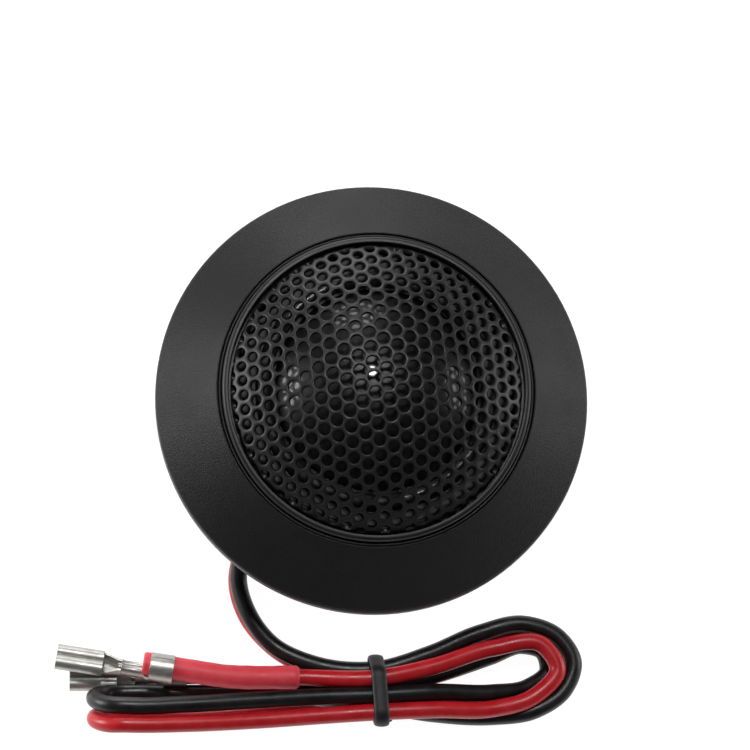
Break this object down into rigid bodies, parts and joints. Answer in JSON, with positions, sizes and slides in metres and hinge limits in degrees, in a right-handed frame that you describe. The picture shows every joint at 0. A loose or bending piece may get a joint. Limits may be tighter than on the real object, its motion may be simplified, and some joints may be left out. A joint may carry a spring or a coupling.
{
  "type": "car dome tweeter",
  "caption": "Flush-mount dome tweeter for a car door or pillar, with a conical trim flange, a perforated domed grille and a tied pair of leads with crimp receptacles.",
  "frame": {"origin": "middle of the rear cover's outer face, on the listening axis; the tied leads lie on the same plane", "axes": "+Z along the listening axis, out through the grille; -Y towards the tied bundle of leads; +X towards the bundle's looped end, away from the crimp receptacles"},
  "size_m": [0.0677, 0.0694, 0.0289],
  "materials": {
    "trim_plastic": "fine spark-eroded grain, charcoal black",
    "cover_plastic": "fine grain, black",
    "zinc_steel": "zinc plated, cross recess",
    "grommet_rubber": "matt black rubber",
    "capsule_plastic": "satin black",
    "foam": "open-cell foam",
    "ring_black": "satin black enamel",
    "mesh_black": "satin black powder coat on perforated steel",
    "carrier_plastic": "moulded, satin",
    "surround_fabric": "sealed cloth",
    "dome_fabric": "coated cloth, glossy",
    "former_aluminium": "lacquered",
    "coil_copper": "enamelled copper winding",
    "lead_copper": "bare tinsel lead",
    "felt": "felt",
    "magnet_nickel": "nickel-plated sintered magnet",
    "tab_brass": "tinned at the ends",
    "capacitor_sleeve": "shrink sleeve",
    "red_pvc": "glossy PVC",
    "black_pvc": "glossy PVC",
    "red_sleeve_pvc": "soft marker sleeve",
    "tie_plastic": "black band",
    "tinned_brass": "tin plated"
  },
  "bodies": {
    "tweeter": {"mounting_cup": "trim_plastic", "rear_cover": "cover_plastic", "cover_screws": "zinc_steel", "wire_grommet": "grommet_rubber", "capsule_shell": "capsule_plastic", "foam_washer": "foam", "grille_ring": "ring_black", "grille_mesh": "mesh_black", "diaphragm_carrier": "carrier_plastic", "surround": "surround_fabric", "lead_out_plus": "lead_copper", "lead_out_minus": "lead_copper", "damping_pad": "felt", "pole_piece": "zinc_steel", "magnet": "magnet_nickel", "yoke_cup": "zinc_steel", "tab_plus": "tab_brass", "tab_minus": "tab_brass", "capacitor": "capacitor_sleeve", "red_wire": "red_pvc", "black_wire": "black_pvc", "red_sleeve": "red_sleeve_pvc", "wire_tie": "tie_plastic", "red_terminal": "tinned_brass", "black_terminal": "tinned_brass"},
    "moving_coil": {"dome": "dome_fabric", "coil_former": "former_aluminium", "voice_coil": "coil_copper"}
  },
  "joints": [
    {"name": "dome_travel", "type": "slide", "parent": "tweeter", "child": "moving_coil", "axis": [0, 0, 1], "range_m": [-0.00035, 0.00035], "stiffness_N_per_m": 30, "deforming": ["surround", "lead_out_plus", "lead_out_minus"]}
  ]
}
